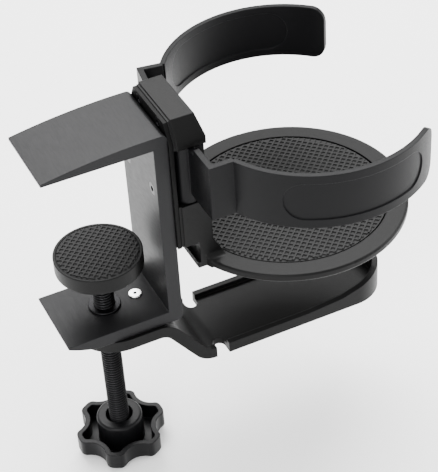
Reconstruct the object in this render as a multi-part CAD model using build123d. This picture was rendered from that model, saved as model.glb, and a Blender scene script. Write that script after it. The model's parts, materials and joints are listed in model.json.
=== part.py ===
from build123d import *
import math
import os

# Desk clamp cup holder with a headphone hook under it. Millimetres, +Z up.
# Origin: the inner corner of the clamp, where the underside of the top arm (z = 0) meets the
# desk side of the column (x = 0), on the mid-plane (y = 0). The desk lies at -X, the cup at +X.

# ---- driving dimensions ---------------------------------------------------------------
# clamp bracket
BRACKET_WIDTH = 31.2
COLUMN_THICK = 5.4
JAW_HEIGHT = 73.8
TOP_ARM_REACH = 41.0
TOP_ARM_THICK = 5.0
TOP_TIP_THICK = 1.1
LOW_ARM_REACH = 40.0
LOW_ARM_THICK = 5.2
LOW_TIP_THICK = 0.9
LOW_ARM_FLAT = 27.0
BRACKET_EDGE_R = 2.2

# clamp screw, bush and knob
SCREW_REACH = 19.4
SCREW_DIA = 8.0
SCREW_BELOW_JAW = 63.1
NECK_DIA = 4.4
BALL_DIA = 8.0
BUSH_FLANGE_DIA = 12.4
BUSH_FLANGE_THICK = 1.0
BUSH_BODY_DIA = 10.6
BUSH_RING_DIA = 14.0
BUSH_RING_THICK = 1.8
KNOB_LOBES = 6
KNOB_DIA = 36.0
KNOB_HEIGHT = 9.5
KNOB_WALL = 2.0
KNOB_FLOOR = 2.5
KNOB_HUB_DIA = 18.2
KNOB_HUB_RISE = 5.4
KNOB_HUB_BORE = 10.6
KNOB_CHAMFER = 2.4
KNOB_NOTCH_R = 7.4
KNOB_NOTCH_DEPTH = 3.8
NUT_FLATS = 13.0
NUT_THICK = 6.5

# clamp pad
PAD_GAP = 47.7
PAD_DIA = 33.0
PAD_HEIGHT = 6.8
PAD_RIM = 1.2
PAD_MAT_THICK = 1.6
PAD_MAT_PROUD = 0.25
PAD_CROWN = 0.9
PAD_DOME_R = 6.6
PAD_NECK_HOLE = 6.0
WASHER_DIA = 12.0
WASHER_THICK = 3.3
WASHER_FLOOR = 0.6

# rivet beside the screw
RIVET_REACH = 7.0
RIVET_DIA = 3.0
RIVET_HEAD_DIA = 5.2
RIVET_HEAD_THICK = 0.7
RIVET_HOLE_DIA = 1.2

# headphone hook
HOOK_THICK = 4.7
HOOK_HALF_WIDTH = 17.0
HOOK_ROOT_R = 17.0
HOOK_ROOT_SHIFT = 3.4
HOOK_BEND_START = 18.4
HOOK_BEND_RUN = 14.3
HOOK_DROP = 19.7
HOOK_BEND_R = 7.5
HOOK_END = 114.0
HOOK_CORNER_R = 15.0
HOOK_RIM_WIDTH = 2.4
HOOK_TROUGH = 2.0
HOOK_LIP_RISE = 6.5
HOOK_LIP_RUN = 22.0
HOOK_NOTCH_AT = 39.5
HOOK_NOTCH_WIDTH = 5.2
HOOK_NOTCH_DEPTH = 6.6

# housing, back plate and pivot pins
PLATE_THICK = 1.5
PLATE_INSET = 0.9
HOUSING_DEPTH = 11.9
HOUSING_HALF_WIDTH = 17.7
HOUSING_TOP = 8.9
HOUSING_TOP_HALF = 13.4
HOUSING_RAKE = 2.0
HOUSING_SHOULDER = 1.35
HOUSING_CAP_BOTTOM = -1.8
SHADOW_STEP = 0.6
SHADOW_DEPTH = 0.9
SPINE_HALF_WIDTH = 7.6
SEAM_Z = -26.1
BLOCK_BOTTOM = -44.2
PIVOT_Y = 12.9
PIN_DIA = 4.0
PIN_SEAT = 3.2
BRACKET_SCREW_Y = 10.7
BRACKET_SCREW_Z = -19.2
CAP_SCREW_Y = 8.0
CAP_SCREW_Z = 5.2
BLOCK_SCREW_Y = 12.0
BLOCK_SCREW_Z = -36.5
PLATE_SCREW_LENGTH = 8.0

# arms
ARM_ARC_X = 60.3
ARM_ARC_Y = 16.6
ARM_INNER_R = 41.4
ARM_THICK = 2.0
ARM_TOP = 0.3
ARM_BOTTOM = -21.6
ARM_TIP_ANGLE = 46.5
ARM_ROOT_ANGLE = 181.0
ARM_TIP_R = 5.5
ARM_LEFT_CLOSED = 9.0
ARM_BOX_HALF_WIDTH = 34.6
ARM_BOX_WALL = 2.2
ARM_BOX_SET = -0.3
ARM_ROOT_DROP = 9.0
ARM_PANEL_ANGLES = (68.0, 121.5)
ARM_PANEL_HEIGHT = 15.0
ARM_INSET_ANGLES = (78.0, 134.0)
ARM_INSET_HEIGHT = 16.0
ARM_RELIEF = 0.45
BARREL_R = 4.6
BARREL_RELIEF_R = 9.2
ARM_FLOOR_Z = -19.5

# cup tray
TRAY_X = 57.9
TRAY_R = 45.8
TRAY_RIM_TOP = -52.4
TRAY_RIM_WIDTH = 7.2
TRAY_RIM_THICK = 3.4
TRAY_NECK_START = 6.6
TRAY_NECK_END = 4.2
TRAY_NECK_FLARE = 2.2
MAT_THICK = 2.0
MAT_PROUD = 0.3
TONGUE_DROP = 2.5
TONGUE_START = 5.5

# clearances
RUN_FIT = 0.05
FACE_GAP = 0.3
BARREL_GAP = 0.7
WASHER_GAP = 0.05
MAT_GAP = 0.6
FRICTION_WASHER = 0.5
SMALL_SCREW_DIA = 3.0
SMALL_HEAD_DIA = 5.0
SMALL_SOCKET_DIA = 2.0

# ---- derived places -------------------------------------------------------------------
HALF_WIDTH = BRACKET_WIDTH / 2
SCREW_X = -SCREW_REACH
RIVET_X = -RIVET_REACH
LOW_TOP = -JAW_HEIGHT
LOW_BOTTOM = LOW_TOP - LOW_ARM_THICK
HOOK_BOTTOM = LOW_BOTTOM - HOOK_THICK
PLATE_FRONT = COLUMN_THICK + PLATE_THICK
HOUSING_FRONT = PLATE_FRONT + HOUSING_DEPTH
PIVOT_X = PLATE_FRONT + BARREL_R + BARREL_GAP
ARM_SEAT = SEAM_Z + FRICTION_WASHER + WASHER_GAP
PAD_TOP = -PAD_GAP
PAD_EDGE = PAD_TOP - PAD_MAT_PROUD
BALL_Z = PAD_TOP - PAD_MAT_THICK - PAD_CROWN - BALL_DIA / 2
WASHER_BOTTOM = BALL_Z - PAD_DOME_R - WASHER_FLOOR
SHOULDER_Z = WASHER_BOTTOM - WASHER_GAP
KNOB_TOP = LOW_TOP - SCREW_BELOW_JAW
HUB_TOP = KNOB_TOP + KNOB_HUB_RISE
TRAY_BOTTOM = TRAY_RIM_TOP - TRAY_RIM_THICK
MAT_SEAT = TRAY_RIM_TOP + MAT_PROUD - MAT_THICK
MAT_R = TRAY_R - TRAY_RIM_WIDTH - MAT_GAP
ARM_OUTER_R = ARM_INNER_R + ARM_THICK


# ---- helpers ---------------------------------------------------------------------------
def rod(radius, bottom, top, x=0.0, y=0.0):
    """A cylinder along Z from one height to another."""
    return Pos(x, y, (bottom + top) / 2) * Cylinder(radius, top - bottom)


def block(x_range, y_range, z_range):
    """A box between three pairs of limits."""
    size = [high - low for low, high in (x_range, y_range, z_range)]
    mid = [(high + low) / 2 for low, high in (x_range, y_range, z_range)]
    return Pos(*mid) * Box(*size)


def along_x(points, x_start, x_end):
    """A prism along X with an outline of (y, z) points."""
    outline = make_face(Polyline(*[(0, y, z) for y, z in points], close=True))
    return Pos(x_start, 0, 0) * extrude(outline, x_end - x_start, dir=(1, 0, 0))


def along_y(face, half_width):
    """A prism along Y, symmetric about y = 0, from a face in the XZ plane."""
    return extrude(face, half_width, dir=(0, 1, 0), both=True)


def ring_sector(inner, outer, start, end, bottom, top, x, y):
    """A band of a ring between two angles in degrees, seen from above."""
    arc = CenterArc((0, 0), (inner + outer) / 2, start, end - start)
    band = extrude(trace(arc, outer - inner), top - bottom)
    return Pos(x, y, bottom) * band


def mirrored(part):
    """The same part on the other side of the mid-plane."""
    return mirror(part, about=Plane.XZ)


def countersunk(head_face, tip, y, z):
    """A small screw along X, head at the lower x, with a round socket."""
    head_depth = (SMALL_HEAD_DIA - SMALL_SCREW_DIA) / 2
    shank = Cylinder(SMALL_SCREW_DIA / 2, tip - head_face, rotation=(0, 90, 0))
    cone = Cone(SMALL_HEAD_DIA / 2, SMALL_SCREW_DIA / 2, head_depth, rotation=(0, 90, 0))
    socket = Cylinder(SMALL_SOCKET_DIA / 2, 1.0, rotation=(0, 90, 0))
    screw = Pos((head_face + tip) / 2, y, z) * shank
    screw += Pos(head_face + head_depth / 2, y, z) * cone
    return screw - Pos(head_face + 0.5, y, z) * socket


def screw_space(head_face, tip, y, z):
    """What a small screw takes out of the pieces that it holds."""
    head_depth = (SMALL_HEAD_DIA - SMALL_SCREW_DIA) / 2
    space = Pos((head_face + tip) / 2, y, z) * Cylinder(
        SMALL_SCREW_DIA / 2, tip - head_face, rotation=(0, 90, 0))
    return space + Pos(head_face + head_depth / 2, y, z) * Cone(
        SMALL_HEAD_DIA / 2, SMALL_SCREW_DIA / 2, head_depth, rotation=(0, 90, 0))


# ---- clamp bracket ---------------------------------------------------------------------
def clamp_bracket():
    """A C-shaped extrusion: column with a bowed top arm and a lower arm, both thin at the tip."""
    arm_arc = ThreePointArc(
        (-TOP_ARM_REACH, 0, TOP_TIP_THICK),
        (-TOP_ARM_REACH / 2, 0, TOP_TIP_THICK + 0.72 * (TOP_ARM_THICK - TOP_TIP_THICK)),
        (COLUMN_THICK, 0, TOP_ARM_THICK))
    low_arc = ThreePointArc(
        (-LOW_ARM_FLAT, 0, LOW_BOTTOM),
        (-(LOW_ARM_FLAT + LOW_ARM_REACH) / 2, 0, LOW_BOTTOM + 0.34 * (LOW_ARM_THICK - LOW_TIP_THICK)),
        (-LOW_ARM_REACH, 0, LOW_TOP - LOW_TIP_THICK))
    outer = Polyline((COLUMN_THICK, 0, TOP_ARM_THICK), (COLUMN_THICK, 0, LOW_BOTTOM),
                     (-LOW_ARM_FLAT, 0, LOW_BOTTOM))
    inner = Polyline((-LOW_ARM_REACH, 0, LOW_TOP - LOW_TIP_THICK), (-LOW_ARM_REACH, 0, LOW_TOP),
                     (0, 0, LOW_TOP), (0, 0, 0), (-TOP_ARM_REACH, 0, 0),
                     (-TOP_ARM_REACH, 0, TOP_TIP_THICK))
    body = along_y(make_face([*arm_arc.edges(), *outer.edges(), *low_arc.edges(), *inner.edges()]),
                   HALF_WIDTH)
    corners = body.edges().filter_by(Axis.Y).filter_by_position(
        Axis.X, COLUMN_THICK - 0.1, COLUMN_THICK + 0.1)
    body = fillet(corners, BRACKET_EDGE_R)
    body -= rod(BUSH_BODY_DIA / 2, LOW_BOTTOM - 1, LOW_TOP + 1, SCREW_X)
    body -= rod(RIVET_DIA / 2, LOW_BOTTOM - 1, LOW_TOP + 1, RIVET_X)
    for side in (-1, 1):
        body -= screw_space(0, PLATE_FRONT, side * BRACKET_SCREW_Y, BRACKET_SCREW_Z)
    return body


def screw_bush():
    """The flanged bush that carries the clamp screw through the lower arm and the hook."""
    bush = rod(BUSH_FLANGE_DIA / 2, LOW_TOP, LOW_TOP + BUSH_FLANGE_THICK, SCREW_X)
    bush = fillet(bush.edges().group_by(Axis.Z)[-1], 0.4)
    bush += rod(BUSH_BODY_DIA / 2, HOOK_BOTTOM - BUSH_RING_THICK, LOW_TOP, SCREW_X)
    return bush - rod(SCREW_DIA / 2 + RUN_FIT, HOOK_BOTTOM - BUSH_RING_THICK - 1, LOW_TOP + 2, SCREW_X)


def bush_ring():
    """The ring pressed on the bush under the hook."""
    ring = rod(BUSH_RING_DIA / 2, HOOK_BOTTOM - BUSH_RING_THICK, HOOK_BOTTOM, SCREW_X)
    ring = fillet(ring.edges().group_by(Axis.Z)[0], 0.6)
    return ring - rod(BUSH_BODY_DIA / 2, HOOK_BOTTOM - BUSH_RING_THICK - 1, HOOK_BOTTOM + 1, SCREW_X)


def hook_rivet():
    """A hollow rivet that ties the hook to the lower arm."""
    rivet = rod(RIVET_HEAD_DIA / 2, LOW_TOP, LOW_TOP + RIVET_HEAD_THICK, RIVET_X)
    rivet = fillet(rivet.edges().group_by(Axis.Z)[-1], 0.35)
    tail = rod(RIVET_HEAD_DIA / 2, HOOK_BOTTOM - RIVET_HEAD_THICK, HOOK_BOTTOM, RIVET_X)
    rivet += fillet(tail.edges().group_by(Axis.Z)[0], 0.35)
    rivet += rod(RIVET_DIA / 2, HOOK_BOTTOM, LOW_TOP, RIVET_X)
    return rivet - rod(RIVET_HOLE_DIA / 2, HOOK_BOTTOM - 2, LOW_TOP + 2, RIVET_X)


# ---- headphone hook ---------------------------------------------------------------------
def ribbon(points, radius, thick, half_width):
    """A strip of even thickness that follows a filleted line in the XZ plane."""
    path = FilletPolyline(*[(x, z) for x, z in points], radius=radius)
    strip = trace(path, thick)
    return along_y(Plane.XZ * strip, half_width)


def hook_outline(inset):
    """The hook seen from above: a round root and a round-cornered far end."""
    root = Pos(HOOK_ROOT_SHIFT, 0) * Circle(HOOK_ROOT_R - inset)
    length = HOOK_END - HOOK_ROOT_SHIFT
    body = Pos(HOOK_ROOT_SHIFT + length / 2, 0) * Rectangle(
        length - 2 * inset, 2 * (HOOK_HALF_WIDTH - inset))
    far = body.vertices().group_by(Axis.X)[-1]
    return root + fillet(far, HOOK_CORNER_R - inset)


def headphone_hook():
    """Root plate under the lower arm, a double bend down, and a shallow trough with a raised end."""
    mid_top = LOW_BOTTOM - HOOK_THICK / 2
    mid_low = mid_top - HOOK_DROP
    bend_end = HOOK_BEND_START + HOOK_BEND_RUN
    line = [(HOOK_ROOT_SHIFT - HOOK_ROOT_R, mid_top), (HOOK_BEND_START, mid_top),
            (bend_end, mid_low), (HOOK_END, mid_low)]
    strip = ribbon(line, HOOK_BEND_R, HOOK_THICK, HOOK_HALF_WIDTH + 1)
    plan = extrude(hook_outline(0), 200, both=True)
    hook = strip & plan

    trough_line = [(HOOK_BEND_START - 2, mid_top + HOOK_THICK - HOOK_TROUGH),
                   (HOOK_BEND_START + 4, mid_top + HOOK_THICK - HOOK_TROUGH),
                   (bend_end + 3, mid_low + HOOK_THICK - HOOK_TROUGH),
                   (HOOK_END, mid_low + HOOK_THICK - HOOK_TROUGH)]
    trough = ribbon(trough_line, HOOK_BEND_R, HOOK_THICK, HOOK_HALF_WIDTH + 1)
    inner = extrude(hook_outline(HOOK_RIM_WIDTH), 200, both=True)
    hook -= trough & inner

    lip_top = mid_low + HOOK_THICK / 2 + HOOK_LIP_RISE
    rim_top = mid_low + HOOK_THICK / 2
    side = make_face(Polyline(
        (HOOK_END - HOOK_LIP_RUN - HOOK_CORNER_R, 0, rim_top - 1),
        (HOOK_END + 1, 0, rim_top - 1), (HOOK_END + 1, 0, lip_top),
        (HOOK_END - HOOK_CORNER_R / 3, 0, lip_top), (HOOK_END - HOOK_LIP_RUN, 0, rim_top + 1.2),
        (HOOK_END - HOOK_LIP_RUN - HOOK_CORNER_R, 0, rim_top), close=True))
    lip = along_y(side, HOOK_HALF_WIDTH + 1) & (plan - inner)
    hook += lip

    notch_depth_y = HOOK_HALF_WIDTH - HOOK_NOTCH_DEPTH
    for side_sign in (-1, 1):
        slot = SlotOverall(2 * HOOK_NOTCH_DEPTH, HOOK_NOTCH_WIDTH, rotation=90)
        hook -= Pos(HOOK_NOTCH_AT, side_sign * (notch_depth_y + HOOK_NOTCH_DEPTH), mid_low - 10) * (
            extrude(slot, 20))
    hook = Pos(SCREW_X, 0, 0) * hook
    hook -= rod(BUSH_BODY_DIA / 2, HOOK_BOTTOM - 1, LOW_BOTTOM + 1, SCREW_X)
    hook -= rod(RIVET_HEAD_DIA / 2, HOOK_BOTTOM - HOOK_THICK, HOOK_BOTTOM, RIVET_X)
    return hook - rod(RIVET_DIA / 2, HOOK_BOTTOM - 1, LOW_BOTTOM + 1, RIVET_X)


# ---- clamp screw, knob and pad ------------------------------------------------------------
def clamp_screw():
    """The M8 screw as a plain rod of its full diameter, with a neck and a ball at the top."""
    screw = rod(SCREW_DIA / 2, KNOB_TOP - KNOB_HEIGHT + KNOB_FLOOR, SHOULDER_Z, SCREW_X)
    screw += rod(NECK_DIA / 2, SHOULDER_Z, BALL_Z, SCREW_X)
    return screw + Pos(SCREW_X, 0, BALL_Z) * Sphere(BALL_DIA / 2)


def knob_outline(inset):
    """The lobed outline of the knob, moved inwards by an inset."""
    reach = KNOB_DIA / 2 - inset
    notch = KNOB_NOTCH_R + inset
    centre = KNOB_DIA / 2 - KNOB_NOTCH_DEPTH + KNOB_NOTCH_R
    outline = Circle(reach)
    for lobe in range(KNOB_LOBES):
        angle = (lobe + 0.5) * 360 / KNOB_LOBES
        outline -= Rot(0, 0, angle) * Pos(centre, 0) * Circle(notch)
    return fillet(outline.vertices(), 2.6 - inset / 2)


def knob():
    """A star knob: a lobed cup with a raised hub round the screw and a nut moulded in."""
    bottom = KNOB_TOP - KNOB_HEIGHT
    body = Pos(SCREW_X, 0, bottom) * extrude(knob_outline(0), KNOB_HEIGHT)
    body = chamfer(body.edges().group_by(Axis.Z)[0], KNOB_CHAMFER)
    recess = Pos(SCREW_X, 0, bottom + KNOB_FLOOR) * extrude(knob_outline(KNOB_WALL), KNOB_HEIGHT)
    body -= recess - rod(KNOB_HUB_DIA / 2, bottom, HUB_TOP, SCREW_X)
    hub = rod(KNOB_HUB_DIA / 2, bottom + KNOB_FLOOR - 1, HUB_TOP, SCREW_X)
    body += fillet(hub.edges().group_by(Axis.Z)[-1], 1.2)
    body -= rod(KNOB_HUB_BORE / 2, bottom + KNOB_FLOOR + NUT_THICK, HUB_TOP + 1, SCREW_X)
    return body - nut_blank()


def nut_blank():
    """The hexagon that the nut fills in the knob."""
    radius = NUT_FLATS / math.sqrt(3)
    foot = KNOB_TOP - KNOB_HEIGHT + KNOB_FLOOR
    return Pos(SCREW_X, 0, foot) * extrude(RegularPolygon(radius, 6), NUT_THICK)


def knob_nut():
    """The nut that fixes the knob to the screw."""
    foot = KNOB_TOP - KNOB_HEIGHT + KNOB_FLOOR
    return nut_blank() - rod(SCREW_DIA / 2, foot - 1, foot + NUT_THICK + 1, SCREW_X)


def pad_body():
    """A round pad with a mat recess on top and a domed socket for the ball underneath."""
    foot = PAD_EDGE - PAD_HEIGHT
    disc = rod(PAD_DIA / 2, foot, PAD_EDGE, SCREW_X)
    disc = fillet(disc.edges().group_by(Axis.Z)[0], 1.2)
    dome = Pos(SCREW_X, 0, BALL_Z) * Sphere(PAD_DOME_R)
    dome &= rod(PAD_DOME_R + 1, BALL_Z - PAD_DOME_R - 1, foot + 0.5, SCREW_X)
    body = disc + dome
    body -= rod(PAD_DIA / 2 - PAD_RIM, PAD_TOP - PAD_MAT_THICK, PAD_TOP, SCREW_X)
    body -= Pos(SCREW_X, 0, BALL_Z) * Sphere(BALL_DIA / 2 + RUN_FIT)
    return body - rod(PAD_NECK_HOLE / 2, BALL_Z - PAD_DOME_R - 1, BALL_Z, SCREW_X)


def pad_mat():
    """The rubber mat that bears on the underside of the desk."""
    return rod(PAD_DIA / 2 - PAD_RIM, PAD_TOP - PAD_MAT_THICK, PAD_TOP, SCREW_X)


def pad_washer():
    """The dished washer on the screw's shoulder, on which the dome of the pad tilts."""
    washer = rod(WASHER_DIA / 2, WASHER_BOTTOM, WASHER_BOTTOM + WASHER_THICK, SCREW_X)
    washer -= Pos(SCREW_X, 0, BALL_Z) * Sphere(PAD_DOME_R + RUN_FIT)
    return washer - rod(NECK_DIA / 2 + RUN_FIT, WASHER_BOTTOM - 1, BALL_Z, SCREW_X)


# ---- housing -------------------------------------------------------------------------------
def cap_outline(inset, foot):
    """The end view of the housing: flat top, sloping shoulders, upright sides."""
    wide = HOUSING_HALF_WIDTH - inset
    flat = HOUSING_TOP_HALF - inset / 2
    return [(-wide, foot), (-wide, HOUSING_SHOULDER - inset / 2), (-flat, HOUSING_TOP - inset),
            (flat, HOUSING_TOP - inset), (wide, HOUSING_SHOULDER - inset / 2), (wide, foot)]


def back_plate():
    """The plate between the column and the housing, a little smaller than the housing."""
    plate = along_x(cap_outline(PLATE_INSET, BLOCK_BOTTOM - SHADOW_STEP), COLUMN_THICK, PLATE_FRONT)
    for side in (-1, 1):
        plate -= screw_space(0, PLATE_FRONT, side * BRACKET_SCREW_Y, BRACKET_SCREW_Z)
    for y, z in plate_screw_places():
        plate -= screw_space(COLUMN_THICK, COLUMN_THICK + PLATE_SCREW_LENGTH, y, z)
    return plate


def plate_screw_places():
    """Where the four screws pass from the back plate into the housing."""
    return [(side * y, z) for y, z in ((CAP_SCREW_Y, CAP_SCREW_Z), (BLOCK_SCREW_Y, BLOCK_SCREW_Z))
            for side in (-1, 1)]


def housing_cap():
    """The cap over the arm pivots and the narrow spine between them."""
    step = PLATE_FRONT + SHADOW_DEPTH
    cap = along_x(cap_outline(0, HOUSING_CAP_BOTTOM), step, HOUSING_FRONT)
    wedge = make_face(Polyline(
        (HOUSING_FRONT, 0, HOUSING_SHOULDER), (HOUSING_FRONT + 1, 0, HOUSING_SHOULDER),
        (HOUSING_FRONT + 1, 0, HOUSING_TOP + 1), (HOUSING_FRONT - HOUSING_RAKE, 0, HOUSING_TOP + 1),
        (HOUSING_FRONT - HOUSING_RAKE, 0, HOUSING_TOP), close=True))
    cap -= along_y(wedge, HOUSING_HALF_WIDTH + 1)
    cap += along_x(cap_outline(SHADOW_STEP, HOUSING_CAP_BOTTOM), PLATE_FRONT, step)
    cap += block((PLATE_FRONT, HOUSING_FRONT - SHADOW_STEP),
                 (-SPINE_HALF_WIDTH, SPINE_HALF_WIDTH), (SEAM_Z, HOUSING_CAP_BOTTOM))
    for side in (-1, 1):
        cap -= pivot_space(side)
        cap -= screw_space(COLUMN_THICK, COLUMN_THICK + PLATE_SCREW_LENGTH, side * CAP_SCREW_Y, CAP_SCREW_Z)
    return cap


def pivot_space(side):
    """The upright hole of one pivot pin."""
    return rod(PIN_DIA / 2, SEAM_Z - PIN_SEAT, HOUSING_CAP_BOTTOM + PIN_SEAT, PIVOT_X, side * PIVOT_Y)


def pivot_washer(side):
    """The friction washer under one arm's barrel."""
    ring = rod(BARREL_R - 0.5, SEAM_Z, SEAM_Z + FRICTION_WASHER, PIVOT_X, side * PIVOT_Y)
    return ring - pivot_space(side)


# ---- arms ----------------------------------------------------------------------------------
def arm_band(inner, outer, start, end, bottom, top):
    """A stretch of the right arm's curved band; angles count clockwise from +X, seen from above."""
    return ring_sector(inner, outer, -end, -start, bottom, top, ARM_ARC_X, -ARM_ARC_Y)


def radial_rod(radius, angle, z):
    """A cylinder across the band, pointing at the centre of the arm's arc."""
    reach = (ARM_INNER_R + ARM_OUTER_R) / 2
    turn = math.radians(-angle)
    return Pos(ARM_ARC_X + reach * math.cos(turn), -ARM_ARC_Y + reach * math.sin(turn), z) * (
        Rot(0, 0, -angle) * Rot(0, 90, 0) * Cylinder(radius, 4 * ARM_THICK))


def long_panel(inner, outer, angles, height):
    """A round-ended panel that follows the band, between two radii."""
    middle = (ARM_TOP + ARM_BOTTOM) / 2
    panel = arm_band(inner, outer, *angles, middle - height / 2, middle + height / 2)
    shell = arm_band(inner, outer, angles[0] - 20, angles[1] + 20, ARM_BOTTOM, ARM_TOP)
    for angle in angles:
        panel += radial_rod(height / 2, angle, middle) & shell
    return panel


def arm_right():
    """The arm on the -Y side: a barrel on the pivot, a box root, and a band with a round end."""
    tip_turn = math.degrees(ARM_TIP_R / ((ARM_INNER_R + ARM_OUTER_R) / 2))
    tip_start = ARM_TIP_ANGLE + tip_turn
    low_corner, high_corner = ARM_BOTTOM + ARM_TIP_R, ARM_TOP - ARM_TIP_R
    mid_r = (ARM_INNER_R + ARM_OUTER_R) / 2
    side_rise = ARM_BOX_HALF_WIDTH - ARM_BOX_WALL / 2 - ARM_ARC_Y
    box_angle = 180 - math.degrees(math.asin(side_rise / mid_r))
    arm = arm_band(ARM_INNER_R, ARM_OUTER_R, tip_start, box_angle, ARM_BOTTOM, ARM_TOP)
    arm += arm_band(ARM_INNER_R, ARM_OUTER_R, box_angle, ARM_ROOT_ANGLE, ARM_BOTTOM, ARM_TOP - ARM_ROOT_DROP)
    arm += arm_band(ARM_INNER_R, ARM_OUTER_R, ARM_TIP_ANGLE, tip_start, low_corner, high_corner)
    shell = arm_band(ARM_INNER_R, ARM_OUTER_R, ARM_TIP_ANGLE, tip_start + tip_turn, ARM_BOTTOM, ARM_TOP)
    for corner in (low_corner, high_corner):
        arm += radial_rod(ARM_TIP_R, tip_start, corner) & shell
    arm -= long_panel(ARM_OUTER_R - ARM_RELIEF, ARM_OUTER_R + 1, ARM_PANEL_ANGLES, ARM_PANEL_HEIGHT)
    arm -= long_panel(ARM_INNER_R - 1, ARM_INNER_R + ARM_RELIEF, ARM_INSET_ANGLES, ARM_INSET_HEIGHT)

    wall_back = PIVOT_X + ARM_BOX_SET
    wall_front = wall_back + ARM_BOX_WALL
    box_x = (wall_back, ARM_ARC_X - math.sqrt(mid_r ** 2 - side_rise ** 2))
    side_y = (-ARM_BOX_HALF_WIDTH, -ARM_BOX_HALF_WIDTH + ARM_BOX_WALL)
    end_y = (-ARM_BOX_HALF_WIDTH, -PIVOT_Y - PIN_DIA / 2)
    arm += block((wall_back, wall_front), end_y, (ARM_BOTTOM, ARM_TOP))
    arm += block(box_x, side_y, (ARM_BOTTOM, ARM_TOP))
    floor_x = (wall_back, box_x[1] - 2 * ARM_BOX_WALL)
    arm += block(floor_x, (end_y[0], end_y[1] - BARREL_R / 2), (ARM_FLOOR_Z, ARM_FLOOR_Z + ARM_BOX_WALL))
    barrel_top = HOUSING_CAP_BOTTOM - FACE_GAP
    arm += block((PIVOT_X, ARM_ARC_X - ARM_INNER_R - ARM_THICK / 2),
                 (-PIVOT_Y - BARREL_R, -PIVOT_Y - PIN_DIA / 2), (ARM_BOTTOM, ARM_TOP))
    arm -= rod(BARREL_RELIEF_R, barrel_top, ARM_TOP + 1, PIVOT_X, -PIVOT_Y)
    arm += rod(BARREL_R, ARM_SEAT, barrel_top, PIVOT_X, -PIVOT_Y)
    return arm - rod(PIN_DIA / 2 + RUN_FIT, ARM_SEAT - 1, barrel_top + 1, PIVOT_X, -PIVOT_Y)


# ---- cup tray ------------------------------------------------------------------------------
def cup_tray():
    """The round tray and the block that carries it, in one moulding."""
    step = PLATE_FRONT + SHADOW_DEPTH
    wide = HOUSING_HALF_WIDTH
    tray = block((step, HOUSING_FRONT), (-wide, wide), (BLOCK_BOTTOM, SEAM_Z))
    inner = wide - SHADOW_STEP
    tray += block((PLATE_FRONT, step), (-inner, inner), (BLOCK_BOTTOM, SEAM_Z))

    flare_start = TRAY_RIM_TOP + TRAY_NECK_FLARE
    half = make_face([
        *Polyline((0, 0, TRAY_BOTTOM), (0, wide + TRAY_NECK_FLARE, TRAY_BOTTOM),
                  (0, wide + TRAY_NECK_FLARE, TRAY_RIM_TOP)).edges(),
        *ThreePointArc((0, wide + TRAY_NECK_FLARE, TRAY_RIM_TOP),
                       (0, wide + TRAY_NECK_FLARE * (1 - math.sqrt(0.5)),
                        flare_start - TRAY_NECK_FLARE * math.sqrt(0.5)),
                       (0, wide, flare_start)).edges(),
        *Polyline((0, wide, flare_start), (0, wide, BLOCK_BOTTOM + 1), (0, 0, BLOCK_BOTTOM + 1),
                  (0, 0, TRAY_BOTTOM)).edges()])
    neck_start = PLATE_FRONT + TRAY_NECK_START
    neck_end = HOUSING_FRONT + TRAY_NECK_END
    flare = extrude(half, neck_end, dir=(1, 0, 0))
    side = make_face(Polyline(
        (neck_start, 0, BLOCK_BOTTOM + 1), (neck_start, 0, TRAY_BOTTOM),
        (neck_end, 0, TRAY_BOTTOM), (neck_end, 0, TRAY_RIM_TOP),
        (HOUSING_FRONT, 0, BLOCK_BOTTOM), (HOUSING_FRONT, 0, BLOCK_BOTTOM + 1), close=True))
    neck = (flare + mirrored(flare)) & along_y(side, wide + 2 * TRAY_NECK_FLARE)
    disc = rod(TRAY_R, TRAY_BOTTOM, SEAM_Z, TRAY_X)
    tray += neck & (disc + block((neck_start, TRAY_X), (-wide, wide), (TRAY_BOTTOM, SEAM_Z)))

    plate = rod(TRAY_R, TRAY_BOTTOM, TRAY_RIM_TOP, TRAY_X)
    plate = fillet(plate.edges().group_by(Axis.Z)[-1], 0.9)
    tray += fillet(plate.edges().group_by(Axis.Z)[0], 1.2)
    tongue = block((PLATE_FRONT + TONGUE_START, HOUSING_FRONT), (-wide, wide),
                   (TRAY_BOTTOM, TRAY_BOTTOM + TONGUE_DROP))
    tray += tongue
    tray -= rod(MAT_R + MAT_GAP, MAT_SEAT, SEAM_Z, TRAY_X)
    for side in (-1, 1):
        tray -= pivot_space(side)
        tray -= screw_space(COLUMN_THICK, COLUMN_THICK + PLATE_SCREW_LENGTH, side * BLOCK_SCREW_Y, BLOCK_SCREW_Z)
    return tray


def tray_mat():
    """The round mat that the cup stands on."""
    return rod(MAT_R, MAT_SEAT, MAT_SEAT + MAT_THICK, TRAY_X)


# ---- write one STEP per piece ----------------------------------------------------------------
nodes = {
    "clamp_bracket": clamp_bracket(),
    "screw_bush": screw_bush(),
    "bush_ring": bush_ring(),
    "hook_rivet": hook_rivet(),
    "headphone_hook": headphone_hook(),
    "clamp_screw": clamp_screw(),
    "knob": knob(),
    "knob_nut": knob_nut(),
    "pad_body": pad_body(),
    "pad_mat": pad_mat(),
    "pad_washer": pad_washer(),
    "back_plate": back_plate(),
    "housing_cap": housing_cap(),
    "cup_tray": cup_tray(),
    "tray_mat": tray_mat(),
    "arm_right": arm_right(),
}
left_pivot = Axis((PIVOT_X, PIVOT_Y, 0), (0, 0, 1))
nodes["arm_left"] = mirrored(nodes["arm_right"]).rotate(left_pivot, -ARM_LEFT_CLOSED)
for name, side in (("right", -1), ("left", 1)):
    nodes[f"pivot_pin_{name}"] = pivot_space(side)
    nodes[f"pivot_washer_{name}"] = pivot_washer(side)
    nodes[f"bracket_screw_{name}"] = countersunk(
        0, PLATE_FRONT, side * BRACKET_SCREW_Y, BRACKET_SCREW_Z)
for number, (y, z) in enumerate(plate_screw_places(), 1):
    nodes[f"plate_screw_{number}"] = countersunk(COLUMN_THICK, COLUMN_THICK + PLATE_SCREW_LENGTH, y, z)

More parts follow.
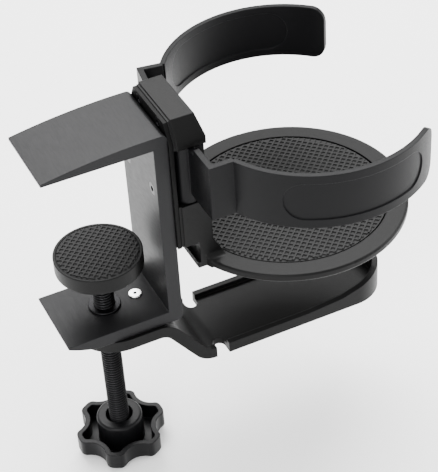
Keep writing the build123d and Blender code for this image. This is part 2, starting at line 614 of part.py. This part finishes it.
os.makedirs("parts", exist_ok=True)
for name, solid in nodes.items():
    export_step(solid, f"parts/{name}.step")
    print(f"{name}: {solid.volume:.0f} mm3, valid {solid.is_valid}")
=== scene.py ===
# %% [markdown]
# # A desk clamp cup holder
# The holder is a C-shaped clamp that grips a desk, a housing with a round tray and two swinging
# arms for a cup, and a trough under it for a pair of headphones. Nearly all of it is black, so the
# picture depends on satin sheens, soft edges and a few fine textures, not on colour. The shapes
# come from the CAD frame, and each one is given the small edge rounds that catch the light.

# %% Load the frame
import json
import math

import bmesh
import bpy
from mathutils import Matrix, Vector


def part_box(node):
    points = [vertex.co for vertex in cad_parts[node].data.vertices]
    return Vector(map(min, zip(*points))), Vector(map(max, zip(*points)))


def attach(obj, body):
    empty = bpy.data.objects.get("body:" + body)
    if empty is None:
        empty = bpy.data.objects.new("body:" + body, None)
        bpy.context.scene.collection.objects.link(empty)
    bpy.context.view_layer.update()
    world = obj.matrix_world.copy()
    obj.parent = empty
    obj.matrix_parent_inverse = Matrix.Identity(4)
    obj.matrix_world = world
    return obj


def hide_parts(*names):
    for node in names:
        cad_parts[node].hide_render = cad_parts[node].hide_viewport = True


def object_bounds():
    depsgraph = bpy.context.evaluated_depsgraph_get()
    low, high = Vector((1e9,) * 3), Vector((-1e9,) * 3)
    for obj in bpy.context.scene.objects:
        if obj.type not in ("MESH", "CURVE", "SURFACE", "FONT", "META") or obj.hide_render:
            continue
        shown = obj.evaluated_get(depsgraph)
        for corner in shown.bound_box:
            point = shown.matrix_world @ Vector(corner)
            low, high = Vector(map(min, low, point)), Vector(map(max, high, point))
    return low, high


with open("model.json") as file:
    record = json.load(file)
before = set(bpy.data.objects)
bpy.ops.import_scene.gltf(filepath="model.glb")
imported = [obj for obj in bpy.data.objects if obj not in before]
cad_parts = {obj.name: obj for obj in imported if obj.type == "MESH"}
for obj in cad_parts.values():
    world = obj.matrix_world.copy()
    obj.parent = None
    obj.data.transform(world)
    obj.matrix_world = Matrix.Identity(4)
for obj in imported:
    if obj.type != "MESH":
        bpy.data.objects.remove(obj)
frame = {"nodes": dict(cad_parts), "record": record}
cad_bounds = [list(corner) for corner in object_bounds()]
body_of = {n: b for b, ns in frame["record"]["behaviour"]["bodies"].items() for n in ns}
slot_of = {part["node"]: part["material_slot"] for part in frame["record"]["subparts"]}
MM = 0.001
WELD_MM = 0.002
FLAT_DEG, SHARP_DEG, SMOOTH_DEG = 0.6, 32, 38

# %% [markdown]
# ## Colours and nodes
# Colours are written as the sRGB hex values that a paint program shows, and turned to the linear
# values that a shader needs. One helper adds any shader node, so that a material reads as a recipe.

# %% Two helpers for materials
def linear(hex_code):
    """An sRGB hex colour as linear RGBA."""
    parts = [int(hex_code[i:i + 2], 16) / 255 for i in (1, 3, 5)]
    return (*[c / 12.92 if c <= 0.04045 else ((c + 0.055) / 1.055) ** 2.4 for c in parts], 1.0)


def add(tree, kind, inputs=None, **settings):
    """Add a shader node; an input is a value, or another node's output to link."""
    node = tree.nodes.new("ShaderNode" + kind)
    for name, value in settings.items():
        setattr(node, name, value)
    for name, value in (inputs or {}).items():
        if isinstance(value, bpy.types.NodeSocket):
            tree.links.new(value, node.inputs[name])
        else:
            node.inputs[name].default_value = value
    return node


print("black plastic is", [round(c, 4) for c in linear("#1c1c1d")[:3]])

# %% [markdown]
# ## The recipe that the hard finishes share
# A moulded or anodised surface is never one flat value. Its colour drifts a little over a few
# centimetres, its roughness is mottled, and a fine grain breaks up the highlight. Its edges are
# painted lighter: partly the polish and scrapes of handling, partly a painted highlight, which also
# lights the inside corners. The Bevel node finds the edges: where its rounded normal leaves the true
# one, the surface is close to an edge.

# %% A hard surface
def hard_surface(name, base, edge_wear_and_highlight, rough, grain_mm, grain_depth_mm, metallic=0.0, stretch=(1, 1, 1),
                 edge_mm=0.5, edge_wear_and_highlight_amount=0.5, specular=0.2):
    """A Principled material with drift, mottled roughness, grain and edges painted lighter, for wear and as
    a painted highlight.
    """
    material = bpy.data.materials.new(name)
    material.use_nodes = True
    tree = material.node_tree
    tree.nodes.clear()
    place = add(tree, "TexCoord")
    mapped = add(tree, "Mapping", {"Vector": place.outputs["Object"], "Scale": stretch})
    grain = add(tree, "TexNoise", {"Vector": mapped.outputs["Vector"], "Scale": 1 / (grain_mm * MM),
                                   "Detail": 3.0, "Roughness": 0.6})
    drift = add(tree, "TexNoise", {"Vector": place.outputs["Object"], "Scale": 28.0, "Detail": 2.0})
    rounded = add(tree, "Bevel", {"Radius": edge_mm * MM}, samples=4)
    true_normal = add(tree, "NewGeometry")
    bend = add(tree, "VectorMath", {0: rounded.outputs["Normal"], 1: true_normal.outputs["Normal"]},
               operation="DOT_PRODUCT")
    # The edges, inside corners too, get the lighter edge colour: part wear, part painted highlight.
    wear_and_highlight_mask = add(tree, "MapRange", {"Value": bend.outputs["Value"], "From Min": 0.995, "From Max": 0.86,
                                  "To Min": 0.0, "To Max": edge_wear_and_highlight_amount})
    wear_and_highlight_patch = add(tree, "Math", {0: wear_and_highlight_mask.outputs["Result"], 1: drift.outputs["Fac"]},
                operation="MULTIPLY")
    base_mix = add(tree, "Mix", {"Factor": drift.outputs["Fac"], "A": linear(base),
                                 "B": tuple(c * 1.25 for c in linear(base)[:3]) + (1.0,)},
                   data_type="RGBA")
    colour = add(tree, "Mix", {"Factor": wear_and_highlight_patch.outputs["Value"], "A": base_mix.outputs["Result"],
                               "B": linear(edge_wear_and_highlight)}, data_type="RGBA")
    mottle = add(tree, "MapRange", {"Value": grain.outputs["Fac"], "From Min": 0.3, "From Max": 0.7,
                                    "To Min": rough - 0.05, "To Max": rough + 0.06})
    bump = add(tree, "Bump", {"Height": grain.outputs["Fac"], "Distance": grain_depth_mm * MM,
                              "Strength": 0.6, "Normal": rounded.outputs["Normal"]})
    surface = add(tree, "BsdfPrincipled", {"Base Color": colour.outputs["Result"],
                                           "Roughness": mottle.outputs["Result"],
                                           "Normal": bump.outputs["Normal"], "Metallic": metallic,
                                           "Specular IOR Level": specular})
    add(tree, "OutputMaterial", {"Surface": surface.outputs["BSDF"]})
    return material


print("recipe ready")

# %% [markdown]
# ## The finishes
# The bracket is an aluminium extrusion, bead-blasted and anodised black: it keeps a soft metallic
# sheen and faint die lines across its width. The mouldings are black ABS with a fine spark-eroded
# texture, the arms a slightly smoother nylon. The steel parts are black oxide, which stays dark and
# a little oily. The rivet is plain bright steel, the one light spot of the whole object. The real
# spark texture is near 0.05 mm, too fine to see here, so it is drawn about ten times coarser.

# %% Make the finishes
# The second colour of each finish is its edge colour: partly wear, partly a painted highlight.
finish = {
    "bracket_metal": hard_surface("anodised_aluminium_black_satin", "#141415", "#3a3a3c", 0.42,
                                  0.5, 0.03, metallic=0.15, stretch=(1, 0.12, 1), specular=0.14),
    "plate_metal": hard_surface("powder_coated_steel_black", "#050505", "#1a1a1b", 0.50, 0.6, 0.05,
                                specular=0.08),
    "dark_steel": hard_surface("black_oxide_steel", "#1a1a1b", "#48484a", 0.34, 0.4, 0.02,
                               metallic=0.9, edge_mm=0.25, edge_wear_and_highlight_amount=0.9, specular=0.3),
    "bright_rivet": hard_surface("bright_turned_steel", "#d8d8d6", "#f2f2f0", 0.24, 0.3, 0.01,
                                 metallic=1.0, edge_mm=0.2, edge_wear_and_highlight_amount=0.3, specular=0.5),
    "black_plastic": hard_surface("moulded_abs_black_spark_texture", "#070707", "#202021", 0.42,
                                  0.5, 0.05, specular=0.1),
    "arm_plastic": hard_surface("moulded_nylon_black_satin", "#050506", "#1e1e20", 0.38, 0.6, 0.03,
                                specular=0.09),
    "knob_plastic": hard_surface("moulded_polypropylene_black", "#070708", "#242426", 0.38, 0.6, 0.04,
                                 specular=0.12),
    "washer_plastic": hard_surface("acetal_washer_black", "#0a0a0a", "#1e1e1f", 0.45, 0.5, 0.02,
                                   specular=0.1),
    "black_rubber": hard_surface("moulded_rubber_black_matt", "#0c0c0c", "#2a2a2a", 0.55, 0.35, 0.06,
                                 edge_mm=0.2, edge_wear_and_highlight_amount=0.8, specular=0.16),
}
print(len(finish), "finishes")

# %% [markdown]
# ## Softened copies of the CAD shapes
# A CAD solid arrives as loose triangles with razor edges. A copy of it is welded, its flat
# triangles are joined again, and the sharp edges get a narrow two-step bevel, as every moulded or
# blasted edge has. A Weighted Normal modifier then keeps the big faces flat in the light.

# %% Soften a CAD node
def finish_piece(piece, node):
    """Give a finished piece the material of its node's slot, smooth shading and weighted normals, hide that
    CAD node and attach the piece to the node's body.
    """
    piece.data.materials.clear()
    piece.data.materials.append(finish[slot_of[node]])
    piece.data.shade_smooth()
    piece.data.set_sharp_from_angle(angle=math.radians(SMOOTH_DEG))
    weighted = piece.modifiers.new("weighted_normals", "WEIGHTED_NORMAL")
    weighted.keep_sharp = True
    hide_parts(node)
    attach(piece, body_of[node])
    return piece


def new_piece(name, shape):
    """A mesh object at the origin from a bmesh."""
    mesh = bpy.data.meshes.new(name)
    shape.to_mesh(mesh)
    shape.free()
    piece = bpy.data.objects.new(name, mesh)
    bpy.context.scene.collection.objects.link(piece)
    return piece


def soften(node, width_mm):
    """A welded copy of a CAD node with narrow bevels on its sharp edges."""
    shape = bmesh.new()
    shape.from_mesh(frame["nodes"][node].data)
    bmesh.ops.remove_doubles(shape, verts=shape.verts, dist=WELD_MM * MM)
    bmesh.ops.dissolve_limit(shape, angle_limit=math.radians(FLAT_DEG), verts=shape.verts, edges=shape.edges)
    sharp = [e for e in shape.edges
             if len(e.link_faces) == 2 and e.calc_face_angle(0) > math.radians(SHARP_DEG)]
    bmesh.ops.bevel(shape, geom=sharp, affect="EDGES", offset=width_mm * MM, offset_type="OFFSET",
                    segments=2, profile=0.5, material=-1, clamp_overlap=True)
    faces = len(shape.faces)
    piece = finish_piece(new_piece(node + "_soft", shape), node)
    print(f"{node}: {faces} faces")
    return piece


# %% Soften the hard parts
for node, width_mm in {
        "clamp_bracket": 0.35, "headphone_hook": 0.4, "housing_cap": 0.4, "cup_tray": 0.35,
        "back_plate": 0.3, "arm_right": 0.3, "arm_left": 0.3, "knob": 0.45, "pad_body": 0.3,
        "screw_bush": 0.15, "bush_ring": 0.15, "hook_rivet": 0.12, "knob_nut": 0.2, "pad_washer": 0.15,
        "pivot_pin_right": 0.2, "pivot_pin_left": 0.2, "pivot_washer_right": 0.08,
        "pivot_washer_left": 0.08, "bracket_screw_right": 0.12, "bracket_screw_left": 0.12,
        "plate_screw_1": 0.12, "plate_screw_2": 0.12, "plate_screw_3": 0.12,
        "plate_screw_4": 0.12}.items():
    soften(node, width_mm)

# %% [markdown]
# ## The gridded mats
# Both rubber mats have raised ribs that cross at 45 degrees to the clamp, about 2 mm apart. A bump
# map would look flat at this distance, so the ribs are real: thin bars, each cut to the length that
# the round mat leaves for it, on a slightly lower disc. One direction is a hair lower than the
# other, so that no two faces lie in one plane.

# %% Make a gridded mat
def gridded_mat(node, pitch_mm, rib_mm, height_mm, border_mm):
    """A round mat with two sets of crossing ribs."""
    low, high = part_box(node)
    centre, radius = (low + high) / 2, (high.x - low.x) / 2
    deck = high.z - height_mm * MM
    shape = bmesh.new()
    bmesh.ops.create_cone(
        shape, cap_ends=True, segments=96, radius1=radius, radius2=radius, depth=deck - low.z,
        matrix=Matrix.Translation((centre.x, centre.y, (deck + low.z) / 2)))
    rings = [e for e in shape.edges if len(e.link_faces) == 2 and e.calc_face_angle(0) > 1.0]
    bmesh.ops.bevel(shape, geom=rings, affect="EDGES", offset=0.2 * MM, segments=2, profile=0.5,
                    material=-1)
    reach, bars = radius - border_mm * MM, 0
    for turn, drop in ((45, 0.0), (-45, 0.03 * MM)):
        count = int(reach / (pitch_mm * MM))
        for step in range(-count, count + 1):
            offset = step * pitch_mm * MM
            half = math.sqrt(max(reach ** 2 - offset ** 2, 0))
            if half < pitch_mm * MM:
                continue
            top = high.z - drop
            matrix = (Matrix.Translation((centre.x, centre.y, (deck + top) / 2 - 0.05 * MM))
                      @ Matrix.Rotation(math.radians(turn), 4, "Z")
                      @ Matrix.Translation((0, offset, 0))
                      @ Matrix.Diagonal((2 * half, rib_mm * MM, top - deck + 0.1 * MM, 1)))
            bar = bmesh.ops.create_cube(shape, size=1.0, matrix=matrix)
            roof = [v for v in bar["verts"] if v.co.z > deck]
            across = Matrix.Rotation(math.radians(turn), 4, "Z")
            middle = (Matrix.Translation((centre.x, centre.y, 0)) @ across
                      @ Matrix.Translation((0, offset, 0)))
            bmesh.ops.scale(shape, vec=(1, 0.55, 1), space=middle.inverted(), verts=roof)
            bars += 1
    piece = finish_piece(new_piece(node + "_gridded", shape), node)
    print(f"{node}: {bars} ribs, {2 * radius / MM:.0f} mm across")
    return piece


gridded_mat("tray_mat", pitch_mm=2.2, rib_mm=1.1, height_mm=0.5, border_mm=0.6)
gridded_mat("pad_mat", pitch_mm=2.0, rib_mm=1.05, height_mm=0.45, border_mm=0.5)

# %% [markdown]
# ## The clamp screw
# The screw is M8 with a 1.25 mm pitch. One pitch of the thread's outline is spun round the axis and
# lifted by a pitch each turn, which makes the whole helix in one operation. Welding joins each turn
# to the next. The ends are cut flat and closed, and the neck and ball at the top are added.

# %% Spin the thread
def threaded_screw(node, pitch_mm, major_mm, minor_mm, ball_mm, neck_mm):
    """The clamp screw with a real helical thread."""
    low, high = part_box(node)
    axis_x, axis_y = (low.x + high.x) / 2, (low.y + high.y) / 2
    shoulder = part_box("pad_washer")[0].z - 0.05 * MM
    pitch, steps = pitch_mm * MM, 28
    start = low.z - 2 * pitch
    turns = int((shoulder - start) / pitch) + 2
    outline = [(minor_mm / 2, 0.0), (minor_mm / 2, 0.12), (major_mm / 2, 0.44), (major_mm / 2, 0.56),
               (minor_mm / 2, 0.88), (minor_mm / 2, 1.0)]
    shape = bmesh.new()
    points = [shape.verts.new((axis_x + r * MM, axis_y, start + t * pitch)) for r, t in outline]
    edges = [shape.edges.new(pair) for pair in zip(points, points[1:])]
    bmesh.ops.spin(shape, geom=points + edges, cent=(axis_x, axis_y, 0), axis=(0, 0, 1),
                   dvec=(0, 0, pitch / steps), angle=2 * math.pi * turns, steps=steps * turns,
                   use_duplicate=False)
    bmesh.ops.remove_doubles(shape, verts=shape.verts, dist=0.01 * MM)
    for height, up in ((low.z, False), (shoulder, True)):
        cut = bmesh.ops.bisect_plane(
            shape, geom=shape.verts[:] + shape.edges[:] + shape.faces[:], plane_co=(0, 0, height),
            plane_no=(0, 0, 1), clear_outer=up, clear_inner=not up)
        rim = [e for e in cut["geom_cut"] if isinstance(e, bmesh.types.BMEdge)]
        bmesh.ops.holes_fill(shape, edges=rim, sides=0)
    bmesh.ops.recalc_face_normals(shape, faces=shape.faces)
    ball_z = high.z - ball_mm / 2 * MM
    bmesh.ops.create_cone(shape, cap_ends=True, segments=32, radius1=neck_mm / 2 * MM,
                          radius2=neck_mm / 2 * MM, depth=ball_z - shoulder,
                          matrix=Matrix.Translation((axis_x, axis_y, (ball_z + shoulder) / 2)))
    bmesh.ops.create_uvsphere(shape, u_segments=32, v_segments=16, radius=ball_mm / 2 * MM,
                              matrix=Matrix.Translation((axis_x, axis_y, ball_z)))
    faces = len(shape.faces)
    piece = finish_piece(new_piece("clamp_screw_threaded", shape), node)
    print(f"{node}: {turns} turns, {faces} faces")
    return piece


threaded_screw("clamp_screw", pitch_mm=1.25, major_mm=7.95, minor_mm=6.6, ball_mm=8.0, neck_mm=4.4)

# %% [markdown]
# ## Camera, floor and light
# The view is a long lens from the desk side, a little above. The floor is plain and pale. Black
# satin parts show only what they reflect, so the light is large and soft: a broad panel above that
# the top faces reflect, a tall one at the near side, and a weaker fill from the far side.

# %% Set the camera
def camera_axes(azimuth, elevation, roll):
    """The camera's right, up and back axes for a view from an azimuth and elevation."""
    a, e, r = (math.radians(v) for v in (azimuth, elevation, roll))
    back = Vector((math.sin(a) * math.cos(e), -math.cos(a) * math.cos(e), math.sin(e)))
    right = Vector((math.cos(a), math.sin(a), 0))
    up = back.cross(right)
    return math.cos(r) * right + math.sin(r) * up, -math.sin(r) * right + math.cos(r) * up, back


CAMERA_PLACE = (-0.1485, -0.4119, 0.3093)
AIM_RIGHT, AIM_UP = -0.03288, 0.00743
right, up, back = camera_axes(azimuth=-25.70, elevation=40.01, roll=-2.365)
aim = (AIM_RIGHT * right + AIM_UP * up - back).normalized()
back = -aim
right = (right - right.dot(back) * back).normalized()
up = back.cross(right)
camera = bpy.data.objects.new("camera", bpy.data.cameras.new("camera"))
bpy.context.scene.collection.objects.link(camera)
camera.matrix_world = Matrix.Translation(CAMERA_PLACE) @ Matrix(
    (right, up, back)).transposed().to_4x4()
camera.data.lens, camera.data.sensor_width, camera.data.clip_start = 117.7, 36.0, 0.02
bpy.context.scene.camera = camera
print("camera", tuple(round(c, 3) for c in camera.location), camera.data.lens, "mm")

# %% Lay the floor
FLOOR_HALF_SIZE, FLOOR_GAP_MM = 6.0, 0.2
floor_shape = bmesh.new()
bmesh.ops.create_grid(floor_shape, x_segments=1, y_segments=1, size=FLOOR_HALF_SIZE,
                      matrix=Matrix.Translation((0, 0, cad_bounds[0][2] - FLOOR_GAP_MM * MM)))
floor = new_piece("floor", floor_shape)
paper = bpy.data.materials.new("matt_white_paper")
paper.use_nodes = True
sheet = paper.node_tree.nodes["Principled BSDF"]
sheet.inputs["Base Color"].default_value = linear("#fbfbfb")
sheet.inputs["Roughness"].default_value = 0.9
floor.data.materials.append(paper)
print("floor at", round(floor.data.vertices[0].co.z, 4))

# %% Place the lights
def panel(name, place, target, width, height, power):
    """A soft rectangular light that points at a target."""
    lamp = bpy.data.lights.new(name, "AREA")
    lamp.shape, lamp.size, lamp.size_y, lamp.energy = "RECTANGLE", width, height, power
    light = bpy.data.objects.new(name, lamp)
    bpy.context.scene.collection.objects.link(light)
    light.location = place
    light.rotation_euler = (Vector(target) - Vector(place)).to_track_quat("-Z", "Y").to_euler()
    return light


middle = (0.03, 0.0, -0.05)
panel("top_panel", (0.25, 0.55, 0.95), middle, 1.2, 0.9, 42)
panel("near_panel", (-0.75, -0.85, 0.55), middle, 0.6, 1.0, 14)
panel("far_fill", (1.0, -0.2, 0.5), middle, 0.7, 0.9, 12)
world = bpy.data.worlds.new("studio")
bpy.context.scene.world = world
world.use_nodes = True
room = world.node_tree.nodes["Background"]
room.inputs["Color"].default_value = linear("#ffffff")
room.inputs["Strength"].default_value = 1.7
print("three panels and a pale room")
